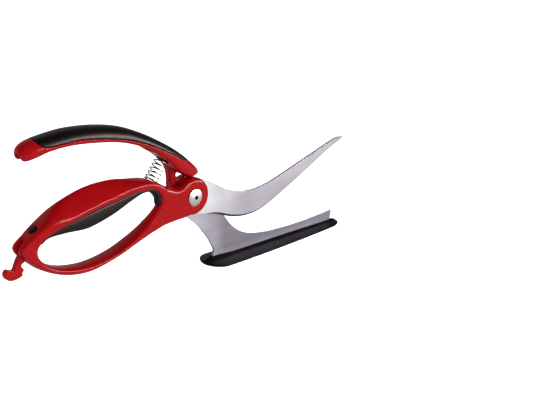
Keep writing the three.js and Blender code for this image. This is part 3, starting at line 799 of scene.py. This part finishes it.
def make_spring():
    """Open turns between one closed turn at each end, wound on Z and then stood in its seat."""
    first = WIRE_DIAMETER / 2
    last = SPRING_LENGTH - first - WIRE_DIAMETER
    open_rise = (last - first - WIRE_DIAMETER) / SPRING_TURNS
    parts = [
        coil("spring_wire", turns=1, low=first, rise=WIRE_DIAMETER),
        coil("spring_open", turns=SPRING_TURNS, low=first + WIRE_DIAMETER, rise=open_rise),
        coil("spring_top", turns=1, low=last, rise=WIRE_DIAMETER),
    ]
    wire = parts[0]
    choose(wire)
    for part in parts:
        part.select_set(True)
    bpy.ops.object.join()
    open_mesh(wire)
    bpy.ops.mesh.remove_doubles(threshold=MERGE_DISTANCE * MM)
    bpy.ops.mesh.fill_holes(sides=0)
    bpy.ops.mesh.normals_make_consistent(inside=False)
    close_mesh()
    turn = Vector((0, 0, 1)).rotation_difference(SPRING_LINE).to_matrix().to_4x4()
    wire.data.transform(Matrix.Translation(at(*SPRING_FOOT)) @ turn)
    return wire


spring = make_spring()
choose(spring)
bpy.ops.object.shade_smooth()
spring.data.materials.append(WIRE)
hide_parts("spring")
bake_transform(spring)

# Pivot bolt and nut


def turned(name, profile):
    """A piece turned on the pivot's axis, from pairs of radius and place along the axis."""
    rings = []
    for radius, y in profile:
        ring = []
        for i in range(TURNED_POINTS):
            angle = 2 * math.pi * i / TURNED_POINTS
            ring.append(at(radius * math.cos(angle), y, radius * math.sin(angle)))
        rings.append(ring)
    return skin(name, rings)


def cap_profile(under, outward, inner_radius):
    """A domed cap from its middle or its socket's edge to its underside, with a rounded rim."""
    radius = CAP_DIAMETER / 2
    profile = []
    for i in range(CAP_STEPS + 1):
        r = inner_radius + (radius - CAP_EDGE - inner_radius) * i / CAP_STEPS
        profile.append((r, under + outward * (CAP_RIM + CAP_DOME * (1 - (r / radius) ** 2))))
    edge_y = profile[-1][1] - outward * CAP_EDGE
    for i in range(1, CAP_EDGE_STEPS + 1):
        angle = math.pi / 2 * i / CAP_EDGE_STEPS
        r = radius - CAP_EDGE + CAP_EDGE * math.sin(angle)
        profile.append((r, edge_y + outward * CAP_EDGE * math.cos(angle)))
    profile.append((radius, under))
    return profile


def make_bolt():
    """The bolt from its socket's floor over its cap to its shank's end."""
    socket = SOCKET_DIAMETER / 2
    dome = cap_profile(FRONT_CAP, outward=-1, inner_radius=socket + SOCKET_LIP)
    floor = FRONT_CAP - CAP_RIM - CAP_DOME + SOCKET_DEPTH
    lip = dome[0][1] + SOCKET_LIP
    shank = BOLT_DIAMETER / 2
    end = REAR_CAP - FIT_GAP
    return turned("bolt_turning", [
        (POLE_RADIUS, floor),
        (socket, floor),
        (socket, lip),
        *dome,
        (shank, FRONT_CAP),
        (shank, end),
        (POLE_RADIUS, end),
    ])


def make_nut():
    """The nut from its cap's middle over its barrel to its bore's floor."""
    bore = BOLT_DIAMETER / 2 + FIT_GAP
    barrel = BARREL_DIAMETER / 2
    return turned("nut_turning", [
        *cap_profile(REAR_CAP, outward=1, inner_radius=POLE_RADIUS),
        (barrel, REAR_CAP),
        (barrel, BARREL_END),
        (bore, BARREL_END),
        (bore, REAR_CAP),
        (POLE_RADIUS, REAR_CAP),
    ])


finished(make_bolt(), "rear_half", "pivot_bolt", BOLT, crease=TURNED_CREASE)
finished(make_nut(), "rear_half", "pivot_nut", BRIGHT, crease=TURNED_CREASE)

# Blades

# Shares of a face's normal that point across the blade: below them an edge, above them a flat side
GROUND_LEAST = 0.7
GROUND_MOST = 0.98


def blade(name, node):
    """A copy of a blade with slightly rounded edges, whose sloping faces are marked as ground."""
    obj = merged_copy(name, node)
    open_mesh(obj)
    bpy.ops.mesh.dissolve_limited(angle_limit=math.radians(FLAT_ANGLE))
    close_mesh()
    modify(
        obj,
        "BEVEL",
        width=BLADE_EDGE_ROUND * MM,
        segments=BLADE_EDGE_STEPS,
        angle_limit=math.radians(EDGE_ANGLE),
    )
    ground = obj.data.attributes.new(GROUND, "FLOAT", "FACE")
    for face in obj.data.polygons:
        across = abs(face.normal.y)
        ground.data[face.index].value = float(GROUND_LEAST < across < GROUND_MOST)
    return obj


upper_blade = blade("upper_blade_steel", "upper_blade")
finished(upper_blade, "front_half", "upper_blade", STEEL, crease=BLADE_CREASE)

lower_blade = blade("lower_blade_steel", "lower_blade")
finished(lower_blade, "rear_half", "lower_blade", SHADE_PAINTED_STEEL, crease=BLADE_CREASE)

# Steel pieces that keep their solids

for name in ("front_washer", "rear_washer", "hook_pin"):
    nodes[name].data.materials.clear()
    nodes[name].data.materials.append(BRIGHT)

# Floor, light and camera: metres, degrees, shares of white, and millimetres for lens and sensor

FLOOR_SIZE = 12
FLOOR_DROP = 0.0002
FLOOR_ROUGHNESS = 0.8
FLOOR_PALENESS = 0.8
FLOOR_PALENESS_MIRRORED = 0.4
FLOOR_GLOW = 0.1
FLOOR_GLOW_CAST = 0.35
LIGHT_AIM = (-0.1, 0, 0.06)
STUDIO_TINT = (0.95, 0.96, 1.0)
STUDIO_LEVEL = 0.4
BACKDROP_DARK = 0.03
BACKDROP_BRIGHT = 0.38
BACKDROP_FADE = (0.35, 0.75)
CAMERA_PLACE = (-0.69255, -0.7429, 0.3926)
CAMERA_TILT = 70.4
CAMERA_TURN = -42.8
CAMERA_LENS = 92.5
CAMERA_SENSOR = 36


def make_floor():
    """A pale floor that the camera sees as white; in the part's reflections and light it is dimmer."""
    deselect()
    bpy.ops.mesh.primitive_plane_add(size=FLOOR_SIZE, location=(0, 0, -FLOOR_DROP))
    floor = bpy.context.object
    floor.name = "floor"
    material = bpy.data.materials.new("pale_floor")
    material.use_nodes = True
    tree = material.node_tree
    shader = tree.nodes["Principled BSDF"]
    shader.inputs["Roughness"].default_value = FLOOR_ROUGHNESS
    shader.inputs["Emission Color"].default_value = (1, 1, 1, 1)
    rays = tree.nodes.new("ShaderNodeLightPath")
    paleness = spread(tree, rays.outputs["Is Glossy Ray"], FLOOR_PALENESS, FLOOR_PALENESS_MIRRORED)
    tree.links.new(paleness, shader.inputs["Base Color"])
    glow = spread(tree, rays.outputs["Is Diffuse Ray"], FLOOR_GLOW, FLOOR_GLOW_CAST)
    seen = larger(tree, glow, rays.outputs["Is Camera Ray"])
    tree.links.new(seen, shader.inputs["Emission Strength"])
    floor.data.materials.append(material)


def add_light(name, place, width, height, power, mirrored=True):
    """A soft lamp that faces the part, in watts, and that glossy surfaces mirror or not."""
    data = bpy.data.lights.new(name, "AREA")
    data.shape = "RECTANGLE"
    data.size = width
    data.size_y = height
    data.energy = power
    lamp = bpy.data.objects.new(name, data)
    bpy.context.scene.collection.objects.link(lamp)
    lamp.location = place
    lamp.rotation_euler = (Vector(LIGHT_AIM) - Vector(place)).to_track_quat("-Z", "Y").to_euler()
    lamp.visible_glossy = mirrored


def make_world():
    """A dim studio for light and reflections that is seen as plain white."""
    world = bpy.data.worlds.new("studio")
    world.use_nodes = True
    tree = world.node_tree
    rays = tree.nodes.new("ShaderNodeLightPath")
    direction = tree.nodes.new("ShaderNodeTexCoord")
    parts = tree.nodes.new("ShaderNodeSeparateXYZ")
    tree.links.new(direction.outputs["Generated"], parts.inputs["Vector"])
    backdrop = spread(tree, parts.outputs["Y"], BACKDROP_DARK, BACKDROP_BRIGHT, BACKDROP_FADE)
    around = tree.nodes.new("ShaderNodeMix")
    around.inputs["A"].default_value = STUDIO_LEVEL
    tree.links.new(rays.outputs["Is Glossy Ray"], around.inputs["Factor"])
    tree.links.new(backdrop, around.inputs["B"])
    level = larger(tree, around.outputs["Result"], rays.outputs["Is Camera Ray"])
    background = tree.nodes["Background"]
    tree.links.new(level, background.inputs["Strength"])
    background.inputs["Color"].default_value = (*STUDIO_TINT, 1)
    bpy.context.scene.world = world


def make_camera():
    data = bpy.data.cameras.new("camera")
    data.sensor_fit = "HORIZONTAL"
    data.sensor_width = CAMERA_SENSOR
    data.lens = CAMERA_LENS
    camera = bpy.data.objects.new("camera", data)
    bpy.context.scene.collection.objects.link(camera)
    camera.location = CAMERA_PLACE
    camera.rotation_euler = (math.radians(CAMERA_TILT), 0, math.radians(CAMERA_TURN))
    bpy.context.scene.camera = camera


make_floor()
add_light("key", place=(2.45, -3.0, 0.66), width=4.0, height=0.44, power=210)
add_light("fill", place=(-0.8, -0.75, 0.5), width=0.5, height=0.4, power=5.5, mirrored=False)
add_light("back", place=(-0.9, 3.0, 0.5), width=2.0, height=0.6, power=60, mirrored=False)
make_world()
make_camera()
bpy.context.scene.view_settings.view_transform = "Standard"
